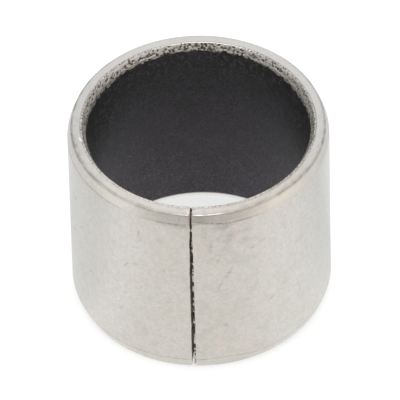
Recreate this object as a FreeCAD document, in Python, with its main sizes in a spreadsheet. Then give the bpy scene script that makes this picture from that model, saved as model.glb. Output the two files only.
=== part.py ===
import FreeCAD, Part
import os
import Sketcher

# A wrapped plain bearing bushing. A flat strip of tin-plated steel, with a porous bronze and PTFE layer bonded
# to one side, is cut to length and rolled into a cylinder. The two ends of the strip meet in an open butt seam.
# The origin is the centre of the lower end face, +Z runs along the bore, and the seam faces -Y.

# Driving dimensions, in millimetres and degrees
SIZES = {
    "bore_diameter": 12.0,
    "bush_length": 11.5,
    "steel_thickness": 0.70,
    "liner_thickness": 0.30,
    "outer_chamfer_length": 0.56,
    "outer_chamfer_angle": 20.0,
    "inner_chamfer_length": 0.28,
    "inner_chamfer_angle": 36.0,
    "end_edge_radius": 0.06,
    "seam_gap_top": 0.14,
    "seam_gap_bottom": 0.22,
    "seam_gap_bore": 0.02,
    "blank_corner_break": 0.10,
    "cut_overrun": 1.0,
}

# Radii that follow from the driving dimensions
BORE_RADIUS = "sizes.bore_diameter / 2"
BOND_RADIUS = BORE_RADIUS + " + sizes.liner_thickness"
OUTER_RADIUS = BOND_RADIUS + " + sizes.steel_thickness"

# The two ends of a line, and a sketch's own origin, as its constraints count them
START = 1
END = 2
ORIGIN = (-1, START)
BASE_LINE = -1


def make_sheet(document):
    """Puts each driving dimension in a row of its own, with its name as the alias of its cell."""
    sheet = document.addObject("Spreadsheet::Sheet", "sizes")
    for row, (name, value) in enumerate(SIZES.items(), start=1):
        sheet.set(f"A{row}", name)
        sheet.set(f"B{row}", str(value))
        sheet.setAlias(f"B{row}", name)
    document.recompute()


def start_sketch(body, name):
    """Adds a sketch on the body's XZ plane: its X is the distance from the axis and its Y is the height."""
    sketch = body.newObject("Sketcher::SketchObject", name)
    plane = next(item for item in body.Origin.OriginFeatures if item.Role == "XZ_Plane")
    sketch.AttachmentSupport = [(plane, "")]
    sketch.MapMode = "FlatFace"
    return sketch


def draw_outline(sketch, corners):
    """Draws a closed outline of straight sides. A corner is a pair of formulas, for its X and its Y."""
    places = [[float(sketch.evalExpression(formula)) for formula in corner] for corner in corners]
    points = [FreeCAD.Vector(x, y, 0) for x, y in places]
    for start, end in zip(points, points[1:] + points[:1]):
        sketch.addGeometry(Part.LineSegment(start, end), False)
    for side in range(len(points)):
        following = (side + 1) % len(points)
        sketch.addConstraint(Sketcher.Constraint("Coincident", side, END, following, START))


def lay(sketch, direction, sides):
    """Keeps the given sides horizontal or vertical."""
    for side in sides:
        sketch.addConstraint(Sketcher.Constraint(direction, side))


def measure(sketch, name, direction, first, second, formula):
    """Adds a named distance from one point to another, and binds it to a formula."""
    value = float(sketch.evalExpression(formula))
    index = sketch.addConstraint(Sketcher.Constraint(direction, *first, *second, value))
    sketch.renameConstraint(index, name)
    sketch.setExpression(f"Constraints.{name}", formula)


def slope(sketch, name, side, formula):
    """Adds a named angle from the horizontal to a side, and binds it to a formula in degrees."""
    degrees = float(sketch.evalExpression(formula))
    index = sketch.addConstraint(Sketcher.Constraint("Angle", side, FreeCAD.Units.Quantity(degrees, "deg")))
    sketch.renameConstraint(index, name)
    sketch.setExpression(f"Constraints.{name}", f"({formula}) * 1 deg")


def revolve(body, section, name):
    """Turns a section once round the axis of the bore."""
    ring = body.newObject("PartDesign::Revolution", name)
    ring.Profile = section
    ring.ReferenceAxis = (section, ["V_Axis"])
    ring.Angle = 360
    section.Visibility = False
    return ring


def outline_seam(body, name, gap_top, gap_bottom, distance):
    """Draws the seam as it is seen from outside, at a distance in front of the axis. The gap may narrow towards
    the top, and the four corners of the strip are broken at both of its ends."""
    outline = start_sketch(body, name)
    outline.setExpression("AttachmentOffset.Base.z", distance)
    top = "sizes.bush_length"
    half_top = f"{gap_top} / 2"
    half_bottom = f"{gap_bottom} / 2"
    flare = " + sizes.blank_corner_break + sizes.cut_overrun"
    draw_outline(outline, [
        (f"-({half_bottom}{flare})", "-sizes.cut_overrun"),
        (f"{half_bottom}{flare}", "-sizes.cut_overrun"),
        (half_bottom, "sizes.blank_corner_break"),
        (half_top, f"{top} - sizes.blank_corner_break"),
        (f"{half_top}{flare}", f"{top} + sizes.cut_overrun"),
        (f"-({half_top}{flare})", f"{top} + sizes.cut_overrun"),
        (f"-({half_top})", f"{top} - sizes.blank_corner_break"),
        (f"-({half_bottom})", "sizes.blank_corner_break"),
    ])
    for left, right in ((0, 1), (7, 2), (6, 3), (5, 4)):
        outline.addConstraint(Sketcher.Constraint("Symmetric", left, START, right, START, -2))
    measure(outline, "gap_bottom", "DistanceX", (7, START), (2, START), gap_bottom)
    measure(outline, "gap_top", "DistanceX", (6, START), (3, START), gap_top)
    measure(outline, "break_bottom", "DistanceY", ORIGIN, (2, START), "sizes.blank_corner_break")
    measure(outline, "break_top", "DistanceY", ORIGIN, (3, START), f"{top} - sizes.blank_corner_break")
    measure(outline, "below", "DistanceY", (1, START), ORIGIN, "sizes.cut_overrun")
    measure(outline, "above", "DistanceY", ORIGIN, (4, START), f"{top} + sizes.cut_overrun")
    slope(outline, "flare_bottom", 1, "135")
    slope(outline, "flare_top", 3, "45")
    outline.Visibility = False
    return outline


def cut_seam(body):
    """Cuts the fine gap where the two ends of the strip all but touch, through the wall on the -Y side."""
    seam = body.newObject("PartDesign::Pocket", "butt_seam")
    seam.Profile = outline_seam(body, "seam_outline", "sizes.seam_gap_bore", "sizes.seam_gap_bore", "0")
    seam.Reversed = True
    seam.setExpression("Length", OUTER_RADIUS + " + sizes.cut_overrun")


def open_seam(body):
    """Widens the seam from the bond to the outside. The two ends of the strip are cut square, so they meet at
    the bore and part towards the outside as it is rolled. They close less at the bottom than at the top."""
    opening = body.newObject("PartDesign::SubtractiveLoft", "seam_opening")
    opening.Profile = outline_seam(body, "seam_outside", "sizes.seam_gap_top", "sizes.seam_gap_bottom", OUTER_RADIUS)
    opening.Sections = [outline_seam(body, "seam_bond", "sizes.seam_gap_bore", "sizes.seam_gap_bore", BOND_RADIUS)]
    opening.Ruled = True


def make_steel_backing(document):
    """The backing strip. Its outer edges are rolled to long shallow chamfers that lead it into a housing."""
    body = document.addObject("PartDesign::Body", "steel_backing")
    section = start_sketch(body, "backing_section")
    length = "sizes.bush_length"
    chamfer = "sizes.outer_chamfer_length"
    face_radius = f"{OUTER_RADIUS} - {chamfer} * tan(sizes.outer_chamfer_angle)"
    draw_outline(section, [
        (BOND_RADIUS, "0"),
        (face_radius, "0"),
        (OUTER_RADIUS, chamfer),
        (OUTER_RADIUS, f"{length} - {chamfer}"),
        (face_radius, length),
        (BOND_RADIUS, length),
    ])
    lay(section, "Horizontal", [0, 4])
    lay(section, "Vertical", [2, 5])
    section.addConstraint(Sketcher.Constraint("PointOnObject", 0, START, BASE_LINE))
    measure(section, "bond_radius", "DistanceX", ORIGIN, (0, START), BOND_RADIUS)
    measure(section, "outer_radius", "DistanceX", ORIGIN, (2, START), OUTER_RADIUS)
    measure(section, "full_length", "DistanceY", ORIGIN, (4, START), length)
    measure(section, "chamfer_bottom", "DistanceY", (1, START), (2, START), chamfer)
    measure(section, "chamfer_top", "DistanceY", (3, START), (4, START), chamfer)
    slope(section, "slope_bottom", 1, "90 - sizes.outer_chamfer_angle")
    slope(section, "slope_top", 3, "90 + sizes.outer_chamfer_angle")
    ring = revolve(body, section, "rolled_backing")
    document.recompute()

    # The edge between each end face and its chamfer is left slightly round by the rolling
    radius = float(body.evalExpression(face_radius))
    rims = [
        f"Edge{number}"
        for number, edge in enumerate(ring.Shape.Edges, start=1)
        if isinstance(edge.Curve, Part.Circle) and abs(edge.Curve.Radius - radius) < Part.Precision.confusion()
    ]
    rounding = body.newObject("PartDesign::Fillet", "rolled_end_edges")
    rounding.Base = (ring, rims)
    rounding.setExpression("Radius", "sizes.end_edge_radius")
    cut_seam(body)
    open_seam(body)
    return body


def make_bearing_liner(document):
    """The sliding layer inside the backing: sintered bronze filled and faced with PTFE. A short inner chamfer
    at each end cuts through the dark face and shows the bronze."""
    body = document.addObject("PartDesign::Body", "bearing_liner")
    section = start_sketch(body, "liner_section")
    length = "sizes.bush_length"
    chamfer = "sizes.inner_chamfer_length"
    face_radius = f"{BORE_RADIUS} + {chamfer} * tan(sizes.inner_chamfer_angle)"
    draw_outline(section, [
        (face_radius, "0"),
        (BOND_RADIUS, "0"),
        (BOND_RADIUS, length),
        (face_radius, length),
        (BORE_RADIUS, f"{length} - {chamfer}"),
        (BORE_RADIUS, chamfer),
    ])
    lay(section, "Horizontal", [0, 2])
    lay(section, "Vertical", [1, 4])
    section.addConstraint(Sketcher.Constraint("PointOnObject", 0, START, BASE_LINE))
    measure(section, "bore_radius", "DistanceX", ORIGIN, (4, START), BORE_RADIUS)
    measure(section, "bond_radius", "DistanceX", ORIGIN, (1, START), BOND_RADIUS)
    measure(section, "full_length", "DistanceY", ORIGIN, (2, START), length)
    measure(section, "chamfer_bottom", "DistanceY", (0, START), (5, START), chamfer)
    measure(section, "chamfer_top", "DistanceY", (4, START), (3, START), chamfer)
    slope(section, "slope_top", 3, "-90 - sizes.inner_chamfer_angle")
    slope(section, "slope_bottom", 5, "-90 + sizes.inner_chamfer_angle")
    revolve(body, section, "rolled_liner")
    cut_seam(body)
    return body


def check(document, bodies):
    """Stops if any object failed, or if a sub-part is not one valid closed solid."""
    for item in document.Objects:
        faults = {"Invalid", "Error"}.intersection(item.State)
        if faults:
            raise RuntimeError(f"{item.Label} is {faults}")
    for body in bodies:
        shape = body.Shape
        if shape.isNull() or not shape.isValid() or len(shape.Solids) != 1:
            raise RuntimeError(f"{body.Label} is not one valid solid")


document = FreeCAD.newDocument("plain_bearing_bushing")
make_sheet(document)
bodies = [make_steel_backing(document), make_bearing_liner(document)]
document.recompute()
check(document, bodies)

os.makedirs("parts", exist_ok=True)
for body in bodies:
    body.Shape.exportStep(f"parts/{body.Label}.step")
    box = body.Shape.optimalBoundingBox(False)
    print(f"{body.Label}: volume {body.Shape.Volume:.3f} mm3, box {box}")
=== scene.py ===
import math

import bmesh
import bpy
import numpy as np
from mathutils import Matrix, Vector


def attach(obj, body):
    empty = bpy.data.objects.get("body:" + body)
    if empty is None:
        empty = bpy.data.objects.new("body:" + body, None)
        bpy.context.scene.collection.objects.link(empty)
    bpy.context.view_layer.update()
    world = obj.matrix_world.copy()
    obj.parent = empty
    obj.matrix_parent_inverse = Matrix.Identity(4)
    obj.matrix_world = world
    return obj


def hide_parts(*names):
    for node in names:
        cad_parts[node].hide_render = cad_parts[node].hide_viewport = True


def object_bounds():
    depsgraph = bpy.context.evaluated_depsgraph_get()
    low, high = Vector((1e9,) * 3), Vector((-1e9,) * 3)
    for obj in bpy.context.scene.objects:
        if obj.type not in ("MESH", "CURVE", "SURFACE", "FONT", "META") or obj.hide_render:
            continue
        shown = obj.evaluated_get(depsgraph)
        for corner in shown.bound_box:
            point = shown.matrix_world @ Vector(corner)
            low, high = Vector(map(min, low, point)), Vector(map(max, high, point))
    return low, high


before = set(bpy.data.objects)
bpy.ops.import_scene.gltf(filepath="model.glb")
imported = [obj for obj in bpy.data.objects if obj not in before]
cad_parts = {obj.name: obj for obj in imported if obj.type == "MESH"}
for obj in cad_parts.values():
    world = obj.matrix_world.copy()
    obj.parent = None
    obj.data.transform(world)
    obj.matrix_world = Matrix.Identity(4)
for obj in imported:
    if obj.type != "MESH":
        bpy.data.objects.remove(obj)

cad_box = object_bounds()


# The studio: a white acrylic table below a square softbox, in a white tent that turns grey near the table.
# The softbox draws the bright lines on the rounded edges, and the table is what the outside mirrors. The
# tent has its opening at the front, so what faces the photographer is darker.
class Signal:
    """One output of a shader node. Operators on signals add the Math nodes that work them out."""

    def __init__(self, shader, socket):
        self.shader = shader
        self.socket = socket

    def math(self, operation, *others):
        inputs = dict(enumerate((self, *others)))
        return self.shader.add("ShaderNodeMath", {"operation": operation}, inputs)

    def __add__(self, other):
        return self.math("ADD", other)

    def __mul__(self, other):
        return self.math("MULTIPLY", other)

    def __sub__(self, other):
        return self.math("SUBTRACT", other)

    def __rsub__(self, other):
        return self.shader.add("ShaderNodeMath", {"operation": "SUBTRACT"}, {0: other, 1: self})

    __radd__ = __add__
    __rmul__ = __mul__

    def ramp(self, start, end):
        """0 up to start, 1 from end on, and an S-shaped rise between them."""
        inputs = {"Value": self, "From Min": start, "From Max": end}
        return self.shader.add("ShaderNodeMapRange", {"interpolation_type": "SMOOTHSTEP"}, inputs)


class Shader:
    """The node tree of a material or a world, filled by calls."""

    def __init__(self, owner):
        owner.use_nodes = True
        self.tree = owner.node_tree
        self.tree.nodes.clear()

    def add(self, kind, settings, inputs, output=0):
        """Any node: its settings first, then its sockets' values and links. Gives the chosen output."""
        node = self.tree.nodes.new(kind)
        for name, value in settings.items():
            setattr(node, name, value)
        for name, value in inputs.items():
            if isinstance(value, Signal):
                self.tree.links.new(value.socket, node.inputs[name])
            else:
                node.inputs[name].default_value = value
        return Signal(self, node.outputs[output]) if node.outputs else None

    def blend(self, share, first, second):
        """A colour that goes from the first to the second as share goes from 0 to 1."""
        return self.add("ShaderNodeMix", {"data_type": "RGBA"}, {0: share, 6: first, 7: second}, 2)

    def split(self, vector):
        """The X, the Y and the Z of a vector."""
        parts = self.add("ShaderNodeSeparateXYZ", {}, {"Vector": vector})
        return [Signal(self, socket) for socket in parts.socket.node.outputs]

    def length(self, vector):
        """The length of a vector."""
        return self.add("ShaderNodeVectorMath", {"operation": "LENGTH"}, {0: vector}, "Value")

    def stored(self, name):
        """The number that a piece stores under a name."""
        return self.add("ShaderNodeAttribute", {"attribute_name": name}, {}, "Fac")

    def for_ray(self, kind, others, these):
        """The second surface for rays of that kind, and the first for all others."""
        share = self.add("ShaderNodeLightPath", {}, {}, kind)
        return self.add("ShaderNodeMixShader", {}, {0: share, 1: others, 2: these})

    def noise(self, where, size, detail=2.0, roughness=0.5):
        """Cloudy noise with patches of about that size, in metres, round 0.5."""
        inputs = {"Vector": where, "Scale": 1 / size, "Detail": detail, "Roughness": roughness}
        return self.add("ShaderNodeTexNoise", {}, inputs)


def gray(level):
    return (level, level, level, 1.0)


table_size = 1.2
table_albedo = 0.88
table_shade = 0.46
table_glow = 0.62

# What the metal mirrors of the table, by how far off that place is, in metres, and on which side of the
# bushing. Right behind the foot of the bushing it has a colour of its own
near_within = 0.040
far_beyond = 0.090
foot_within = 0.014
foot_beyond = 0.024
far_front = (0.520, 0.505, 0.470, 1)
far_beside = (1.55, 1.51, 1.44, 1)
far_back = (1.10, 1.08, 1.04, 1)
near_front = (0.985, 0.972, 0.945, 1)
near_beside = (1.075, 1.070, 1.060, 1)
near_left = (0.940, 0.948, 0.955, 1)
near_back = (0.885, 0.905, 0.925, 1)
near_back_left = (0.860, 0.890, 0.910, 1)
foot_back = (1.07, 1.08, 1.09, 1)

table_mesh = bpy.data.meshes.new("table")
half = table_size / 2
corners = [(-half, -half, 0), (half, -half, 0), (half, half, 0), (-half, half, 0)]
table_mesh.from_pydata(corners, [], [(0, 1, 2, 3)])
table_top = bpy.data.objects.new("table", table_mesh)
bpy.context.scene.collection.objects.link(table_top)
table_material = bpy.data.materials.new("white_acrylic")
table_mesh.materials.append(table_material)
table = Shader(table_material)
place = table.add("ShaderNodeTexCoord", {}, {}, "Object")
distance = table.length(place)
heading = table.add("ShaderNodeVectorMath", {"operation": "NORMALIZE"}, {0: place}, "Vector")
to_right, to_back = table.split(heading)[:2]
to_front = to_back * -1
to_left = to_right * -1
past_foot = distance.ramp(foot_within, foot_beyond)
far = table.blend(to_front.ramp(-0.20, 0.40), far_back, far_beside)
far = table.blend((to_front + to_right * 0.07).ramp(0.50, 1.02), far, far_front)
near = table.blend(to_front.ramp(-0.45, 0.45), near_back, near_beside)
near = table.blend(to_front.ramp(0.62, 0.98), near, near_front)
near = table.blend(to_left.ramp(0.84, 0.98) * (1 - to_back.ramp(0.0, 0.4)), near, near_left)
near = table.blend(to_left.ramp(0.20, 0.70) * to_back.ramp(0.40, 0.60) * past_foot, near, near_back_left)
near = table.blend(to_back.ramp(0.28, 0.65) * (1 - past_foot), near, foot_back)
mirrored = table.blend(distance.ramp(near_within, far_beyond), near, far)

# The metal sees those colours, the camera sees a pale floor with a faint shadow, and all other light meets
# plain white acrylic
matte = table.add("ShaderNodeBsdfDiffuse", {}, {"Color": gray(table_albedo)})
shade = table.add("ShaderNodeBsdfDiffuse", {}, {"Color": gray(table_shade)})
glow = table.add("ShaderNodeEmission", {}, {"Color": gray(1.0), "Strength": table_glow})
seen_in_metal = table.add("ShaderNodeEmission", {}, {"Color": mirrored})
seen = table.add("ShaderNodeAddShader", {}, {0: shade, 1: glow})
indirect = table.for_ray("Is Glossy Ray", matte, seen_in_metal)
surface = table.for_ray("Is Camera Ray", indirect, seen)
table.add("ShaderNodeOutputMaterial", {}, {"Surface": surface})

tent_horizon = 0.42
tent_side = 0.90
tent_top = 1.25
tent_opening = 0.30

world = bpy.data.worlds.new("tent")
bpy.context.scene.world = world
tent = Shader(world)
toward = tent.add("ShaderNodeTexCoord", {}, {}, "Generated")
ahead, up = tent.split(toward)[1:]
cloth = tent.blend(up.ramp(0.0, 0.60), gray(tent_horizon), gray(tent_side))
cloth = tent.blend(up.ramp(0.70, 1.0), cloth, gray(tent_top))
opening = (ahead * -1).ramp(0.50, 0.90) * (1 - up.ramp(0.35, 0.80))
cloth = tent.blend(opening, cloth, gray(tent_opening))
lit = tent.add("ShaderNodeBackground", {}, {"Color": cloth})
plain = tent.add("ShaderNodeBackground", {}, {"Color": gray(1.0)})
surface = tent.for_ray("Is Camera Ray", lit, plain)
tent.add("ShaderNodeOutputWorld", {}, {"Surface": surface})

softbox_size = 0.30
softbox_height = 0.42
softbox_radiance = 1.9

softbox_lamp = bpy.data.lights.new("softbox", "AREA")
softbox_lamp.size = softbox_size
softbox_lamp.energy = softbox_radiance * math.pi * softbox_size ** 2
softbox = bpy.data.objects.new("softbox", softbox_lamp)
softbox.location = (0, 0, softbox_height)
bpy.context.scene.collection.objects.link(softbox)

bpy.context.scene.view_settings.view_transform = "Standard"

# The camera looks down on the bushing at 45 degrees through a long lens, a little from the right of the
# seam, and is turned by a degree and a half. It aims at the middle of the bushing
camera_azimuth = math.radians(4.4)
camera_elevation = math.radians(45.38)
camera_roll = math.radians(1.45)
camera_distance = 0.490
camera_lens = 820.4
camera_shift = (0.0, 0.0004)
camera_clip = (0.01, 5.0)

low, high = cad_box
aim = (low + high) / 2
flat = math.cos(camera_elevation)
back = Vector((
    math.sin(camera_azimuth) * flat, -math.cos(camera_azimuth) * flat, math.sin(camera_elevation)))
level = Vector((math.cos(camera_azimuth), math.sin(camera_azimuth), 0))
upright = back.cross(level)
right = level * math.cos(camera_roll) - upright * math.sin(camera_roll)
top = level * math.sin(camera_roll) + upright * math.cos(camera_roll)
camera_data = bpy.data.cameras.new("camera")
camera_data.lens = camera_lens
camera_data.shift_x, camera_data.shift_y = camera_shift
camera_data.clip_start, camera_data.clip_end = camera_clip
camera = bpy.data.objects.new("camera", camera_data)
camera.matrix_world = Matrix((right, top, back)).transposed().to_4x4()
camera.location = aim + back * camera_distance
bpy.context.scene.collection.objects.link(camera)
bpy.context.scene.camera = camera


# The backing: a strip of low-carbon steel, tin plated, rolled round until its ends nearly meet in a seam. Its
# long edges are rolled to 20-degree chamfers, so their line wanders, and its cut ends are left rough. From
# here on lengths are in millimetres, and angles in degrees from the seam, to the right as one faces it.
MM = 0.001
HEIGHT = 11.5
OUTER_RADIUS = 7.0
BOND_RADIUS = 6.3


def hump(x, centre, width):
    """A hump of height one: exp of minus the square of the distance from the centre over the width."""
    return np.exp(-((x - centre) / width) ** 2)


def smooth(x, start, end):
    """0 up to start, 1 from end on, and an S-shaped rise between them."""
    share = np.clip((x - start) / (end - start), 0, 1)
    return share * share * (3 - 2 * share)


def waves(points, size, seed, count=28):
    """Smooth random relief with a spread of one: cosine waves about size long, in random directions."""
    rng = np.random.default_rng(seed)
    heading = rng.normal(size=(count, 3))
    length = np.linalg.norm(heading, axis=1, keepdims=True)
    heading *= rng.uniform(0.6, 1.6, (count, 1)) * 2 * np.pi / size / length
    phase = rng.uniform(0, 2 * np.pi, count)
    return sum(np.cos(points @ way + shift) for way, shift in zip(heading, phase)) / math.sqrt(count / 2)


def rounded_path(corners, bends, steps):
    """The section, as a polygon with rounded corners. Corner k is a pair of arrays (radius, height) over
    the columns. bends[k] is how far from inner corner k its bend starts. A bend is a quadratic curve with
    the corner as its middle point, and steps holds the shares along each side and each bend in turn."""
    values = np.broadcast_arrays(*(value for corner in corners for value in corner))
    points = [np.stack(pair, -1) for pair in zip(values[::2], values[1::2])]
    starts, ends = [points[0]], []
    for before, corner, after, bend in zip(points, points[1:], points[2:], bends):
        back_way = (before - corner) / np.linalg.norm(before - corner, axis=-1, keepdims=True)
        on_way = (after - corner) / np.linalg.norm(after - corner, axis=-1, keepdims=True)
        size = np.broadcast_to(bend, corner.shape[:1])[:, None]
        ends.append(corner + back_way * size)
        starts.append(corner + on_way * size)
    ends.append(points[-1])
    rows = []
    for side, (start, end) in enumerate(zip(starts, ends)):
        share = np.asarray(steps[2 * side])[:, None, None]
        rows.append(start + (end - start) * share)
        if side < len(bends):
            share = np.asarray(steps[2 * side + 1])[:, None, None]
            rows.append(end * (1 - share) ** 2 + points[side + 1] * 2 * share * (1 - share)
                        + starts[side + 1] * share ** 2)
    path = np.concatenate(rows)
    return path[..., 0], path[..., 1]


def bend_steps(count):
    """The shares along a bend, without its two ends, which belong to the sides beside it."""
    return np.linspace(0, 1, count + 2)[1:-1]


def sink(radius, height, depth):
    """Moves each point of a section inward by depth, square to the section's own direction."""
    along_r = np.gradient(radius, axis=0)
    along_z = np.gradient(height, axis=0)
    length = np.hypot(along_r, along_z)
    return radius - depth * along_z / length, height + depth * along_r / length


def along_seam(height):
    """A place for the waves that shape the seam, which depends on the height alone."""
    return np.stack([np.zeros_like(height), np.full_like(height, 9.0), height], -1)


def burrs(height):
    """0 to 1, the bright torn burrs that stand up from the floor of the seam at some heights: waves of two
    sizes along the seam, cut off at a level, with more of them at the bottom and none at the top."""
    place = along_seam(height)
    burr = waves(place, 0.55, 41) + 0.6 * waves(place, 0.17, 42) + 0.3 * (1 - smooth(height, 1.5, 6.5))
    return smooth(burr, 0.40, 0.95) * smooth(9.95 - height, 0, 0.2)


def seam_floor(height):
    """The radius at which the two ends of the strip touch, at a height. It's halfway through the steel, and
    nearer the bore at both ends of the seam."""
    place = along_seam(height)
    torn = 0.05 * waves(place, 0.5, 43) + 0.03 * waves(place, 0.16, 44)
    halfway = 6.66
    return halfway + torn - 0.60 * smooth(height, 11.12, 11.34) - 0.72 * (1 - smooth(height, 0.40, 1.05))


def half_gap(radius, height, side):
    """Half the width of the butt seam at a radius and a height, on the right (1) or the left (-1) of its
    middle. Outside, the seam is narrow at the top, nearly shut below the chamfer, and opens to the bottom.
    From its floor it widens as the share of the way out to the power 0.35, and burrs of the right end reach
    nearly to its middle."""
    shut = 0.003
    outside = 0.068 + 0.024 * (1 - smooth(height, 9.1, 10.1)) + 0.020 * (1 - smooth(height, 6.8, 9.2))
    bridge = smooth(height, 10.44, 10.49) * (1 - smooth(height, 10.61, 10.66))
    outside = outside - 0.050 * bridge + 0.020 * (1 - smooth(height, 0.0, 0.8))
    place = np.stack([np.full_like(height, side * 9.0), radius, height], -1)
    outside = outside + 0.006 * waves(place, 1.3, 11 + side) + 0.004 * waves(place, 0.3, 21 + side)
    closed = seam_floor(height)
    share = np.clip((radius - closed) / (OUTER_RADIUS - closed), 0, 1) ** 0.35
    width = shut + (outside - shut) * share
    burr = 0.90 * burrs(height) * (1 - smooth(radius, 6.90, 6.95)) * max(side, 0)
    return width * (1 - burr)


def columns(circle, fine, coarse, growth=1.2):
    """Shares of the way round, from 0 to 1. The steps grow from fine at the seam to coarse elsewhere."""
    rise = fine * growth ** np.arange(int(math.log(coarse / fine) / math.log(growth)) + 1)
    middle = np.full(int((circle - 2 * rise.sum()) / coarse), coarse)
    steps = np.concatenate([rise, middle, rise[::-1]])
    return np.concatenate([[0], np.cumsum(steps) / steps.sum()])


def degrees_from_seam(shares):
    """The angle of each column from the seam, from -180 to 180 degrees."""
    angle = np.degrees(2 * np.pi * shares)
    return np.where(angle > 180, angle - 360, angle)


def on_ring(radius, height, shares):
    """The place of each point of a section that is carried round by shares of a full turn."""
    turn = np.broadcast_to(2 * np.pi * shares, radius.shape)
    return np.stack([radius * np.sin(turn), -radius * np.cos(turn), height], -1)


def corner_break(from_seam, depth, reach):
    """How far a corner of the strip is broken: depth at the seam, falling to none at reach as a square."""
    return depth * np.clip(1 - from_seam / reach, 0, 1) ** 2


def write(mesh, name, values):
    """Stores a number at each corner of the mesh. The corners past the end of values get 0."""
    whole = np.zeros(len(mesh.vertices), np.float32)
    flat_values = np.ravel(values)
    whole[:len(flat_values)] = flat_values
    mesh.attributes.new(name, "FLOAT", "POINT").data.foreach_set("value", whole)


def grid_faces(index):
    """The four-sided faces of a grid of corner numbers."""
    return np.stack([index[:-1, :-1], index[:-1, 1:], index[1:, 1:], index[1:, :-1]], -1).reshape(-1, 4)


def split_ring(name, radius, height, shares, hidden_radius, depth_steps):
    """A closed ring with a slit. The shown side is a grid: its section runs down the rows and the way round
    goes along the columns, from the slit's right wall to its left wall. Each is at the angle asin(half_gap /
    radius) from the middle, and is a grid from the section's edge to the hidden radius. The hidden side is
    one face a column. The attribute "cut" is 1 on the walls and 2 on their burrs."""
    rows, count = radius.shape
    first = np.arcsin(half_gap(radius[:, 0], height[:, 0], 1) / radius[:, 0])
    last = 2 * np.pi - np.arcsin(half_gap(radius[:, -1], height[:, -1], -1) / radius[:, -1])
    angle = first[:, None] + (last - first)[:, None] * shares
    turned = [np.stack([radius * np.sin(angle), -radius * np.cos(angle), height], -1).reshape(-1, 3)]
    index = np.arange(rows * count).reshape(rows, count)
    quads = [grid_faces(index)]
    quads.append(np.stack([index[-1, 1:-2], index[-1, 2:-1], index[0, 2:-1], index[0, 1:-2]], -1))
    polygons = []
    in_wall = [np.zeros(rows * count)]
    total = rows * count
    way = np.hypot(np.diff(radius[:, 0]), np.diff(height[:, 0])).cumsum()
    for column, side in ((0, 1), (-1, -1)):
        share = depth_steps[None, 1:]
        edge_r = radius[1:-1, column, None]
        edge_z = height[1:-1, column, None]
        far_z = (height[0, column] + (height[-1, column] - height[0, column]) * way[:-1] / way[-1])[:, None]
        r = edge_r + (hidden_radius - edge_r) * share
        z = edge_z + (far_z - edge_z) * share
        turn = side * np.arcsin(half_gap(r, z, side) / r)
        turned.append(np.stack([r * np.sin(turn), -r * np.cos(turn), z], -1).reshape(-1, 3))
        inner = total + np.arange(r.size).reshape(r.shape)
        total += r.size
        in_wall.append(np.ravel(1 + max(side, 0) * burrs(z) * (1 - smooth(r, 6.93, 6.97))))
        wall = np.concatenate([index[1:-1, column, None], inner], 1)
        quads.append(grid_faces(wall))
        for corner, row in ((index[0, column], wall[0]), (index[-1, column], wall[-1])):
            polygons += [[corner, here, there] for here, there in zip(row[:-1], row[1:])]
        beside = 1 if column == 0 else -2
        outline = [index[0, column], *wall[:, -1], index[-1, column], index[-1, beside], index[0, beside]]
        polygons.append(outline)
    mesh = bpy.data.meshes.new(name)
    faces = np.concatenate(quads).tolist() + polygons
    mesh.from_pydata(np.concatenate(turned) * MM, [], faces)
    shape = bmesh.new()
    shape.from_mesh(mesh)
    bmesh.ops.recalc_face_normals(shape, faces=shape.faces)
    shape.to_mesh(mesh)
    shape.free()
    mesh.shade_smooth()
    mesh.set_sharp_from_angle(angle=math.radians(50))
    piece = bpy.data.objects.new(name, mesh)
    bpy.context.scene.collection.objects.link(piece)
    write(mesh, "cut", np.concatenate(in_wall))
    return piece


backing_shares = columns(2 * np.pi * OUTER_RADIUS, 0.02, 0.155)
azimuth = degrees_from_seam(backing_shares)
aside = np.abs(azimuth)
from_seam = np.radians(aside) * OUTER_RADIUS

# Where the chamfers start and end, round the ring. The top edge is rounder at the seam than elsewhere,
# and its roundness wobbles there
top_edge = 6.780 + 0.050 * hump(azimuth, 2, 20) + 0.02 * hump(aside, 75, 28)
top_chamfer = 0.57 - 0.09 * hump(azimuth, 4, 5) + 0.05 * hump(aside, 70, 25)
bottom_edge = 6.80 + 0.03 * np.cos(np.radians(3 * azimuth + 40))
bottom_chamfer = 0.60 + 0.12 * hump(azimuth, 14, 8) + 0.03 * np.cos(np.radians(5 * azimuth))
round_track = [np.sin(np.radians(azimuth)), np.cos(np.radians(azimuth)), np.zeros_like(azimuth)]
wobble = waves(OUTER_RADIUS * np.stack(round_track, -1), 0.7, 12)
top_bend = 0.021 - 0.010 * hump(azimuth, -11, 8)
top_bend = top_bend + 0.045 * hump(azimuth, 4, 7) * np.clip(1 + 0.65 * wobble, 0.05, 1.8)
chamfer_bend = 0.06 + 0.20 * hump(azimuth, 42, 18) + 0.08 * hump(azimuth, -27, 9)
bottom_edge_bend = 0.06
bottom_chamfer_bend = 0.07
bottom_break = corner_break(from_seam, 0.08, 0.14)
top_break = corner_break(from_seam, 0.030, 0.09)

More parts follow.
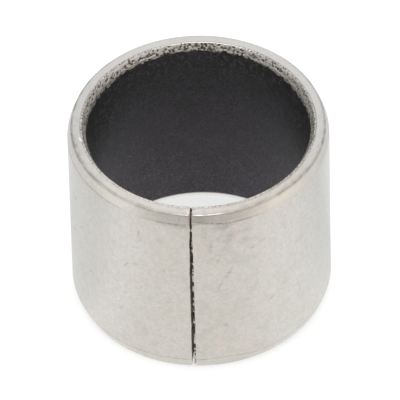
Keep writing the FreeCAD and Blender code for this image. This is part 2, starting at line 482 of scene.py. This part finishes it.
# The section runs out along the bottom, up the side and in over the top, with its points closest at the bends
up_side = np.concatenate([
    1 - np.linspace(0.965, 1, 9)[::-1], np.linspace(0.035, 0.95, 170)[1:-1], 1 - np.linspace(0, 0.05, 14)[::-1]])
in_over_top = np.concatenate([np.linspace(0, 0.90, 10), np.linspace(0.90, 1, 5)[1:]])
radius, height = rounded_path(
    [(BOND_RADIUS, bottom_break), (bottom_edge, bottom_break), (OUTER_RADIUS, bottom_chamfer),
     (OUTER_RADIUS, HEIGHT - top_chamfer), (top_edge, HEIGHT - top_break), (BOND_RADIUS, HEIGHT - top_break)],
    [bottom_edge_bend, bottom_chamfer_bend, chamfer_bend, top_bend],
    [np.linspace(0, 1, 5), bend_steps(4), np.linspace(0, 1, 6), bend_steps(3), up_side, bend_steps(4),
     np.linspace(0, 1, 13), bend_steps(7), in_over_top])
place = on_ring(radius, height, backing_shares)

# Dark fine lines where the surfaces meet: at the top edge, the start of each chamfer and the bond. At the
# top edge and the chamfers they are painted shade and a painted dark reflection of the rounded corners, with
# some dirt; at the bond they are dirt in the joint. They are weaker in places
below_chamfer = (HEIGHT - top_chamfer) - height
from_corner = np.hypot(radius - top_edge, HEIGHT - height)
on_face = smooth(height, HEIGHT - 0.08, HEIGHT - 0.02)
in_front = hump(azimuth, 2, 20)
ragged = np.clip(0.85 + 0.22 * waves(place, 0.8, 51), 0.2, 1.3)
# At the top edge: a painted dark reflection of the rounded corner, with some dirt
edge_line = hump(from_corner, 0.035, 0.066) * (0.52 - 0.44 * in_front + 0.18 * hump(azimuth, -9, 6))
edge_line = edge_line + hump(from_corner, 0.030, 0.050) * 0.26 * hump(aside, 88, 24)
edge_line = edge_line * (1 - 0.75 * smooth(aside, 120, 150)) * (1 - 0.40 * hump(azimuth, 36, 10))
edge_line = edge_line + hump(from_corner, 0.035, 0.066) * 0.10 * hump(azimuth, -64, 22)
rubbed_off = 1 - 0.8 * hump(azimuth, -27, 10)
rubbed_off = rubbed_off - 0.85 * smooth(azimuth, 24, 38) * (1 - smooth(azimuth, 95, 120))
# At the start of each chamfer: painted shade in the pressed-in crease, with some dirt
chamfer_share = 0.40 + 0.12 * hump(azimuth, -8, 9) + 0.22 * hump(azimuth, 18, 12)
chamfer_line = hump(below_chamfer, 0.0, 0.060) * chamfer_share * rubbed_off
bond_share = 0.25 + 0.45 * smooth(aside, 60, 100) + 0.45 * hump(azimuth, 50, 30)
bond_share = bond_share + 0.35 * hump(aside, 97, 24)
bond_line = hump(radius, BOND_RADIUS + 0.012, 0.022) * on_face * bond_share
bottom_line = hump(height - bottom_chamfer, 0.02, 0.045) * (0.40 - 0.16 * smooth(azimuth, 10, 40))
line = np.maximum.reduce([edge_line, chamfer_line, bond_line, bottom_line]) * ragged

# It smears from the chamfer down the outside, and over two places of the end face
halo = np.exp(-np.clip(below_chamfer, 0, None) / 0.30) * smooth(below_chamfer, -0.05, 0.05)
halo = halo * (0.30 + 0.32 * hump(azimuth, -8, 11) + 0.42 * hump(azimuth, 12, 14)) * rubbed_off
rubbed_share = 0.85 * hump(azimuth, -66, 17) + 0.90 * hump(azimuth, 46, 24)
rubbed_face = on_face * smooth(radius, 6.50, 6.74) * rubbed_share
rubbed_face = rubbed_face + on_face * (0.26 * hump(azimuth, -80, 40) + 0.20 * hump(azimuth, 70, 45))
smeared = 0.30 * hump(azimuth, 14, 12) * smooth(height, 7.6, 9.8) * smooth(below_chamfer, 0, 0.3)
grime = np.clip((halo + rubbed_face + smeared) * np.clip(0.8 + 0.4 * waves(place, 0.7, 52), 0.2, 1.5), 0, 1)
tarnish = (1 - smooth(below_chamfer, -0.04, 0.06)) * (1 - on_face) * (0.14 + 0.80 * hump(azimuth, 46, 30))
tarnish = tarnish + on_face * 0.95 * hump(azimuth, 40, 26)

# The rolled surface swells a little, and is pressed in where the chamfer starts
depth = 0.004 + 0.0022 * waves(place, 5.0, 3)
depth = np.maximum(depth + 0.0007 * waves(place, 0.9, 4), 0)
depth = depth + 0.008 * chamfer_line
radius, height = sink(radius, height, depth)
depth_steps = np.concatenate([np.linspace(0, 0.25, 12), np.linspace(0.25, 1, 9)[1:]])
backing = split_ring("rolled_steel_strip", radius, height, backing_shares, BOND_RADIUS, depth_steps)
write(backing.data, "line", line)
write(backing.data, "grime", grime)
write(backing.data, "tarnish", tarnish)
write(backing.data, "clean", on_face * hump(azimuth, -4, 46) * (1 - smooth(radius, 6.52, 6.68)))
write(backing.data, "cool", on_face * smooth(aside, 55, 90))
write(backing.data, "dim", on_face * (hump(azimuth, -98, 30) + 0.4 * hump(azimuth, 98, 30)))


def marks(shader, where, spots):
    """Soft ellipses in the plane of where. A spot is its two coordinates, half its length and half its width,
    in millimetres, then its turn in degrees and its strength. Gives the sum of their strengths."""
    core, rim = 0.25, 1.15
    total = 0
    for across, up, long, wide, turned, strength in spots:
        ellipse = shader.add("ShaderNodeMapping", {"vector_type": "TEXTURE"}, {
            "Vector": where, "Location": (across * MM, up * MM, 0),
            "Rotation": (0, 0, math.radians(turned)), "Scale": (long * MM, wide * MM, 1)})
        total = (1 - shader.length(ellipse).ramp(core, rim)) * strength + total
    return total


tin_warm = (0.684, 0.655, 0.622, 1)
tin_straw = (0.668, 0.650, 0.610, 1)
tin_pale = (0.705, 0.690, 0.668, 1)
tin_greenish = (0.570, 0.570, 0.520, 1)
tin_pink = (0.755, 0.700, 0.690, 1)
tin_olive = (0.560, 0.535, 0.465, 1)
tin_speck = (0.40, 0.375, 0.315, 1)
tin_yellowed = (0.715, 0.645, 0.560, 1)
tin_clean = (0.790, 0.755, 0.700, 1)
tin_cool = (0.690, 0.686, 0.684, 1)
tin_dim = (0.600, 0.598, 0.595, 1)
tin_drawn = (0.440, 0.415, 0.375, 1)
tin_blush = (0.700, 0.620, 0.590, 1)
tin_sallow = (0.560, 0.560, 0.515, 1)
tin_painted_highlight = (0.95, 0.84, 0.80, 1)
scuff_colour = (0.33, 0.31, 0.25, 1)
dirt_colour = (0.325, 0.312, 0.280, 1)
line_colour = (0.215, 0.200, 0.175, 1)
steel_light = (0.38, 0.325, 0.270, 1)
steel_dark = (0.20, 0.180, 0.160, 1)
steel_top = (0.46, 0.37, 0.295, 1)
steel_foot = (0.66, 0.64, 0.60, 1)
steel_torn = (0.70, 0.69, 0.66, 1)

tin_material = bpy.data.materials.new("tin_plate")
backing.data.materials.append(tin_material)
tin = Shader(tin_material)
place = tin.add("ShaderNodeTexCoord", {}, {}, "Object")
clouds = tin.noise(place, 0.0016, 3.0)
hue = tin.noise(place, 0.0028, 2.0)
fine = tin.noise(place, 0.00017, 2.0)
pink = tin.noise(place, 0.00026, 1.0)
olive = tin.noise(place, 0.00075, 3.0, 0.6)
warm = tin.blend(hue.ramp(0.36, 0.64), tin_warm, tin_straw)
plated = tin.blend(clouds.ramp(0.35, 0.72), warm, tin_pale)
plated = tin.blend(fine.ramp(0.25, 0.75) * 0.75, plated, tin_greenish)
plated = tin.blend(pink.ramp(0.45, 0.80) * 0.70, plated, tin_pink)
plated = tin.blend(olive.ramp(0.52, 0.75) * 0.50, plated, tin_olive)
speck = tin.noise(place, 0.00026, 3.0, 0.65).ramp(0.62, 0.74)
plated = tin.blend(speck * 0.50, plated, tin_speck)
yellowed = tin.stored("tarnish")
plated = tin.blend(yellowed * 0.55, plated, tin_yellowed)
clean = tin.stored("clean")
plated = tin.blend(clean * 0.60, plated, tin_clean)
cool = tin.stored("cool")
plated = tin.blend(cool * 0.60, plated, tin_cool)
dim = tin.stored("dim")
plated = tin.blend(dim * 0.50, plated, tin_dim)

# Marks of handling on the side that is seen, by the way round from the seam and the height, then on the face,
# by the way round and the radius, and two painted highlights on the face
x, y, z = tin.split(place)
around = x.math("ARCTAN2", y * -1) * (OUTER_RADIUS * MM)
flat = tin.add("ShaderNodeVectorMath", {"operation": "MULTIPLY"}, {0: place, 1: (1, 1, 0)}, "Vector")
out = tin.length(flat)
strip = tin.add("ShaderNodeCombineXYZ", {}, {0: around, 1: z})
end_face = tin.add("ShaderNodeCombineXYZ", {}, {0: around, 1: out})
at_top = z.ramp(0.0113, 0.0114)
drawn = tin.add("ShaderNodeVectorMath", {"operation": "MULTIPLY"}, {0: end_face, 1: (0.22, 1, 1)}, "Vector")
streak = tin.noise(drawn, 0.00020, 3.0, 0.6).ramp(0.42, 0.62)
plated = tin.blend(streak * at_top * (yellowed * 0.30 + 0.05), plated, tin_drawn)
blush = tin.noise(place, 0.00085, 3.0, 0.55)
beside_seam = around.ramp(0.0, 0.0006) * (1 - around.ramp(0.0030, 0.0060))
plated = tin.blend(blush.ramp(0.50, 0.66) * (beside_seam * 0.42 + 0.10), plated, tin_blush)
plated = tin.blend((1 - blush).ramp(0.50, 0.66) * (beside_seam * 0.38 + 0.08), plated, tin_sallow)
scuff = marks(tin, strip, [
    (-2.92, 9.55, 0.42, 0.085, 82, 0.55), (-2.80, 9.20, 0.30, 0.070, 76, 0.40),
    (-3.20, 7.15, 0.36, 0.09, 25, 0.50), (-3.75, 6.85, 0.32, 0.10, 62, 0.55),
    (-1.50, 7.30, 0.15, 0.09, 60, 0.50), (-1.02, 7.42, 0.12, 0.08, 90, 0.40),
    (-4.10, 3.35, 0.36, 0.08, 70, 0.45), (-3.85, 4.60, 0.20, 0.08, 20, 0.42),
    (-8.60, 5.70, 0.60, 0.13, 36, 0.50), (-8.15, 8.45, 0.30, 0.12, 50, 0.50),
    (-8.95, 9.25, 0.24, 0.10, 55, 0.45), (-7.40, 6.90, 0.22, 0.13, 40, 0.45),
    (1.72, 3.22, 0.22, 0.16, 0, 0.50), (3.32, 8.62, 0.19, 0.11, 20, 0.50),
    (4.45, 4.25, 0.24, 0.09, 40, 0.42), (1.95, 7.10, 0.60, 0.16, 62, 0.36),
    (1.50, 6.25, 0.50, 0.15, 70, 0.36), (-0.61, 11.18, 0.20, 0.035, 90, 0.6),
    (1.05, 9.25, 0.55, 0.15, 86, 0.38), (1.45, 8.30, 0.45, 0.13, 78, 0.34),
    (3.05, 10.05, 0.40, 0.22, 5, 0.34), (1.05, 11.03, 1.20, 0.060, -9, 1.00),
    (0.75, 10.10, 0.30, 0.16, 80, 0.36), (2.10, 9.95, 0.26, 0.18, 0, 0.36),
    (3.90, 8.90, 0.30, 0.16, 10, 0.30), (-6.60, 4.30, 0.24, 0.10, 40, 0.36),
    (5.85, 6.65, 0.25, 0.12, 60, 0.30),
])
face_scuff = marks(tin, end_face, [
    (0.17, 6.33, 0.13, 0.06, 0, 0.9), (-10.6, 6.55, 0.06, 0.25, 0, 0.5), (-0.7, 6.40, 0.35, 0.05, 8, 0.4),
    (9.6, 6.62, 0.35, 0.06, 4, 0.45), (-5.4, 6.70, 0.9, 0.07, 2, 0.4), (-3.0, 6.66, 0.5, 0.08, -3, 0.45),
])
scuff = scuff + face_scuff * at_top
# Two painted highlights on the face: a nick at its inner edge, and its corner left of the seam
painted_highlights = marks(tin, end_face, [(-9.45, 6.36, 0.28, 0.075, -14, 1.0), (-0.16, 6.60, 0.10, 0.16, 0, 0.8)])
scuffed = tin.noise(place, 0.00010, 2.0).ramp(0.30, 0.62)
worn_with_painted_light = tin.blend(scuff * scuffed, plated, scuff_colour)
blotch = tin.noise(place, 0.00045, 3.0).ramp(0.35, 0.68)
dirt = tin.stored("grime") * (blotch * 0.65 + 0.35)
worn_with_painted_light = tin.blend(dirt * (0.40 + scuffed * 0.60), worn_with_painted_light, dirt_colour)
# The dark lines: painted shade and dark reflection at the top edge and chamfers, with dirt, and the bond joint
seen_line = tin.stored("line")
worn_with_painted_light = tin.blend(seen_line * (0.60 + scuffed * 0.40), worn_with_painted_light, line_colour)
worn_with_painted_light = tin.blend(painted_highlights * at_top, worn_with_painted_light, tin_painted_highlight)

# The cut ends in the seam are bare steel: rusty, browner at the top, paler at the foot, bright on the burrs
wall = tin.stored("cut")
cut = wall.ramp(0.4, 0.6)
torn = wall.ramp(1.25, 1.6)
rust = tin.noise(place, 0.00020, 2.0).ramp(0.35, 0.65)
bare = tin.blend(rust, steel_light, steel_dark)
bare = tin.blend(z.ramp(0.0092, 0.0106), bare, steel_top)
bare = tin.blend(1 - z.ramp(0.0004, 0.0012), bare, steel_foot)
bare = tin.blend(torn, bare, steel_torn)
colour = tin.blend(cut, worn_with_painted_light, bare)
dullness = 0.29 + clouds * 0.05 + dirt * 0.10 + cut * 0.22
grainy = fine * 0.5 + clouds * 0.2 + (1 - scuff) * 0.4
peel = tin.add("ShaderNodeBump", {}, {"Strength": 0.25, "Distance": 0.00001, "Height": grainy})
surface = tin.add("ShaderNodeBsdfPrincipled", {}, {
    "Base Color": colour, "Metallic": 1 - cut, "Roughness": dullness, "Normal": peel})
tin.add("ShaderNodeOutputMaterial", {}, {"Surface": surface})
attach(backing, "root")
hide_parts("steel_backing")


# The liner: a porous layer of sintered bronze grains on the steel, filled and faced with dark PTFE. The inner
# chamfers cut through the face, so they show bright bronze grains with dark filled pores between.
def grains(points, size, seed):
    """Distance from each point to the nearest of scattered centres, one in each cube of that size, and that
    centre's own random number. Both come from the 27 cubes round the point."""
    repeat = 40
    scatter = np.random.default_rng(seed).random((repeat, repeat, repeat, 4))
    scaled = points / size
    cube = np.floor(scaled).astype(int)
    nearest = np.full(points.shape[:-1], 9.0)
    luck = np.zeros(points.shape[:-1])
    for step in np.ndindex(3, 3, 3):
        corner = cube + np.array(step) - 1
        pick = scatter[tuple(np.moveaxis(corner % repeat, -1, 0))]
        reach = np.linalg.norm(corner + pick[..., :3] - scaled, axis=-1)
        luck = np.where(reach < nearest, pick[..., 3], luck)
        nearest = np.minimum(reach, nearest)
    return nearest * size, luck


bore_radius = 6.0
grain_size = 0.150
foot_chamfer = 0.31
foot_edge = 6.215
liner_bends = [0.045, 0.05, 0.05, 0.04]
liner_shares = columns(2 * np.pi * bore_radius, 0.025, 0.039)
azimuth = degrees_from_seam(liner_shares)
aside = np.abs(azimuth)
from_seam = np.radians(aside) * bore_radius
land_edge = 6.155 + 0.045 * smooth(aside, 40, 95) + 0.035 * hump(aside, 180, 18)
inner_chamfer = 0.33 + 0.03 * np.cos(np.radians(2 * azimuth + 50)) + 0.05 * hump(aside, 122, 34)
top_break = corner_break(from_seam, 0.030, 0.09)
bottom_break = corner_break(from_seam, 0.08, 0.14)

# The section runs in over the top, down the bore and out along the bottom
down_bore = np.concatenate([
    np.linspace(0, 0.045, 13), np.linspace(0.045, 0.964, 20)[1:-1], 1 - np.linspace(0, 0.036, 6)[::-1]])
radius, height = rounded_path(
    [(BOND_RADIUS, HEIGHT - top_break), (land_edge, HEIGHT - top_break),
     (bore_radius, HEIGHT - inner_chamfer), (bore_radius, foot_chamfer), (foot_edge, bottom_break),
     (BOND_RADIUS, bottom_break)],
    liner_bends,
    [np.linspace(0, 1, 4), bend_steps(5), np.linspace(0, 1, 11), bend_steps(3), down_bore, bend_steps(3),
     np.linspace(0, 1, 6), bend_steps(3), np.linspace(0, 1, 3)])
place = on_ring(radius, height, liner_shares)

# The cut bronze: each grain is bright metal, and some have a dark pore. There are more and larger pores at
# the back, and at the shoulders beside it they gather halfway down the chamfer
reach, luck = grains(place, grain_size, 5)
reach = reach + 0.009 * waves(place, 0.10, 6)
from_top = HEIGHT - height
at_side = hump(aside, 95, 18)
lower = smooth(from_top, 0.15, 0.28)
at_back = hump(aside, 180, 15)
density = 0.40 - 0.32 * lower + 0.35 * at_back + 0.25 * waves(place, 0.45, 8)
shoulder = hump(aside, 138, 18)
middle = smooth(from_top, 0.11, 0.19) * (1 - smooth(from_top, 0.26, 0.34))
density = density + shoulder * (0.90 * middle - 0.45)
clusters = np.clip(1 + 0.9 * waves(place, 0.55, 62), 0, 2.2)
pore_size = 0.034 + 0.034 * luck + 0.010 * at_back + 0.022 * shoulder * middle * clusters
present = smooth(luck + density, 0.50, 0.62)
cut_grain = 1 - (1 - smooth(reach, pore_size - 0.020, pore_size + 0.020)) * present

# The bronze shows in a band below the top, which ends raggedly where the dark face begins, and less at the
# bottom. The land is its flat top. Soot and PTFE dull both
band_height = 0.40 + 0.26 * hump(aside, 104, 34) + 0.05 * waves(place, 0.5, 7)
band = 1 - smooth(from_top + 0.12 * luck, band_height, band_height + 0.10)
at_bottom = 0.65 * (1 - smooth(height, 0.20, 0.30))
land = smooth(radius, land_edge - 0.02, land_edge + 0.02) * band
dull_land = 0.31 + 0.21 * smooth(aside, 15, 90) - 0.30 * smooth(aside, 140, 178)
dull_land = dull_land + 0.12 * hump(azimuth, 16, 9) + 0.11 * hump(azimuth, 52, 20)
dull_land = dull_land - 0.16 * hump(aside, 180, 9) + 0.12 * waves(place, 0.14, 61)
soot = 0.16 + 0.13 * smooth(from_top, 0.22, 0.40) + 0.26 * at_back * smooth(from_top, 0.02, 0.12)
soot = soot + 0.20 * hump(aside, 88, 16) + shoulder * (0.32 * middle - 0.24)
soot = soot + 0.12 * hump(azimuth, 98, 14)
soot = np.clip(soot + 0.20 * waves(place, 0.22, 9), 0, 0.80)
front_edge = hump(radius, land_edge - 0.020, 0.034) * (1 - smooth(from_top, 0.05, 0.12))
front_edge = front_edge * (0.30 + 0.30 * hump(azimuth, -30, 30)) * (1 - smooth(aside, 70, 100))
bright = np.maximum(cut_grain * (1 - soot) * band * (1 - land), land * (1 - dull_land)) - front_edge
bronze = np.clip(bright + at_bottom, 0, 1)
pores = np.maximum(band * (1 - bronze), hump(radius, BOND_RADIUS, 0.025) * land)
pits = 0.028 * (1 - cut_grain) * band * (1 - land)
radius, height = sink(radius, height, pits)
liner = split_ring("bronze_and_ptfe_layer", radius, height, liner_shares, BOND_RADIUS, np.linspace(0, 1, 6))
write(liner.data, "bronze", bronze)
write(liner.data, "pores", pores)
write(liner.data, "luck", luck * (1 - 0.35 * at_side))
write(liner.data, "land", np.maximum(land, 0.45 * lower))
write(liner.data, "glint", shoulder * (1 - smooth(from_top, 0.12, 0.20)) * (1 - land))

ptfe_dark_top = (0.0040, 0.0030, 0.0030, 1)
ptfe_dark_painted_lit = (0.0300, 0.0240, 0.0300, 1)
ptfe_light_top = (0.0450, 0.0375, 0.0465, 1)
ptfe_light_painted_lit = (0.1480, 0.1265, 0.1540, 1)
ptfe_black = (0.0020, 0.0020, 0.0010, 1)
ptfe_olive = (0.1020, 0.0960, 0.0860, 1)
ptfe_reflection_gray = (0.150, 0.145, 0.152, 1)
ptfe_blue = (0.0300, 0.0310, 0.0560, 1)
ptfe_fleck = (0.150, 0.138, 0.145, 1)
ptfe_scratch = (0.210, 0.200, 0.210, 1)
soot_dark = (0.034, 0.027, 0.020, 1)
soot_light = (0.160, 0.132, 0.104, 1)
gray_soot_dark = (0.038, 0.036, 0.034, 1)
gray_soot_light = (0.225, 0.214, 0.198, 1)
bronze_dark = (0.56, 0.515, 0.460, 1)
bronze_light = (0.82, 0.780, 0.725, 1)
bronze_crumb = (0.42, 0.380, 0.330, 1)
bronze_golden = (0.84, 0.765, 0.670, 1)
bronze_land = (0.740, 0.700, 0.650, 1)
bronze_glint = (0.97, 0.900, 0.820, 1)
bronze_wall = (0.30, 0.24, 0.18, 1)

lining_material = bpy.data.materials.new("ptfe_on_bronze")
liner.data.materials.append(lining_material)
lining = Shader(lining_material)
place = lining.add("ShaderNodeTexCoord", {}, {}, "Object")
weave = lining.noise(place, 0.00014, 4.0, 0.85)
smudge = lining.noise(place, 0.0026, 2.0)
x, y, z = lining.split(place)
# The PTFE face is lighter towards the bottom of the bore: a painted reflection of the bright floor
painted_floor_light = 1 - z.ramp(-0.001, 0.0105)
dark = lining.blend(painted_floor_light, ptfe_dark_top, ptfe_dark_painted_lit)
light = lining.blend(painted_floor_light, ptfe_light_top, ptfe_light_painted_lit)
face = lining.blend(weave.ramp(0.42, 0.58), dark, light)
patches = lining.noise(place, 0.00070, 3.0, 0.6)
face = lining.blend(patches.ramp(0.30, 0.70) * 0.48, face, dark)
face = lining.blend(smudge.ramp(0.35, 0.75) * 0.20, face, light)
# Darker, mottled with olive, in a band below the top of the bore and up both sides of it
mottled = lining.noise(place, 0.00042, 4.0, 0.75).ramp(0.40, 0.60)
far_side = x.math("ABSOLUTE").ramp(0.0036, 0.0056) * z.ramp(0.0040, 0.0085)
near_band = z.ramp(0.0088, 0.0108).math("MAXIMUM", far_side) * (mottled * 0.6 + 0.4)
coarse = lining.noise(place, 0.00024, 3.0, 0.8).ramp(0.50, 0.60)
mottled_dark = lining.blend(coarse, ptfe_black, ptfe_olive)
face = lining.blend(near_band * 0.85, face, mottled_dark)
# Paler grey at the front left of the bore: a painted reflection of the floor, seen at a grazing angle
painted_floor_reflection = (x * -1).ramp(0.0030, 0.0052) * (y * -1).ramp(-0.0010, 0.0025)
face = lining.blend(painted_floor_reflection * 0.42, face, ptfe_reflection_gray)
blue = lining.noise(place, 0.0018, 1.0).ramp(0.55, 0.80)
face = lining.blend(blue * 0.30, face, ptfe_blue)
fleck = lining.noise(place, 0.00012, 2.0, 0.6).ramp(0.64, 0.80)
face = lining.blend(fleck * 0.65, face, ptfe_fleck)

# The bronze and its pores. The soot in them is brown, and greyer at both sides
own = lining.stored("luck")
pore = lining.stored("pores")
crumbs = lining.noise(place, 0.00008, 2.0).ramp(0.35, 0.70)
sooty = lining.blend(crumbs, soot_dark, soot_light)
neutral = lining.blend(crumbs, gray_soot_dark, gray_soot_light)
beside = x.ramp(0.0020, 0.0055).math("MAXIMUM", (x * -1).ramp(0.0050, 0.0060))
sooty = lining.blend(beside * y.ramp(-0.0035, -0.0005), sooty, neutral)
around = x.math("ARCTAN2", y * -1) * (bore_radius * MM)
strip = lining.add("ShaderNodeCombineXYZ", {}, {0: around, 1: z})
scratch = marks(lining, strip, [
    (-14.37, 4.50, 0.26, 0.040, 45, 1.0), (-12.90, 8.30, 0.10, 0.05, 20, 0.6),
    (15.90, 6.15, 0.22, 0.035, 12, 0.5), (-16.15, 6.20, 0.07, 0.05, 0, 0.7),
    (16.90, 10.20, 0.05, 0.05, 0, 0.8), (13.60, 7.40, 0.16, 0.04, 65, 0.4),
])
face = lining.blend(scratch * 0.8, face, ptfe_scratch)
colour = lining.blend(pore, face, sooty)
shown = lining.stored("bronze").ramp(0.15, 0.85)
grain = lining.blend(own, bronze_dark, bronze_light)
grain = lining.blend(crumbs * 0.5 + 0.5, bronze_crumb, grain)
grain = lining.blend(x.ramp(-0.0010, 0.0035), lining.blend(0.5, grain, bronze_golden), grain)
land = lining.stored("land")
grain = lining.blend(land, grain, bronze_land)
glint = lining.stored("glint")
grain = lining.blend(glint * 0.80, grain, bronze_glint)
colour = lining.blend(shown, colour, grain)
cut = lining.stored("cut").ramp(0.4, 0.6)
wall = lining.noise(place, 0.00015, 2.0).ramp(0.4, 0.7) * cut
colour = lining.blend(wall, colour, bronze_wall)
metal = shown.math("MAXIMUM", wall) * 0.60
bumps = lining.add("ShaderNodeBump", {}, {"Strength": 0.6, "Distance": 0.00001, "Height": weave})
surface = lining.add("ShaderNodeBsdfPrincipled", {}, {
    "Base Color": colour, "Metallic": metal, "Roughness": 0.50 - metal * 0.25, "Specular IOR Level": 0.36,
    "Normal": bumps})
lining.add("ShaderNodeOutputMaterial", {}, {"Surface": surface})
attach(liner, "root")
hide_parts("bearing_liner")
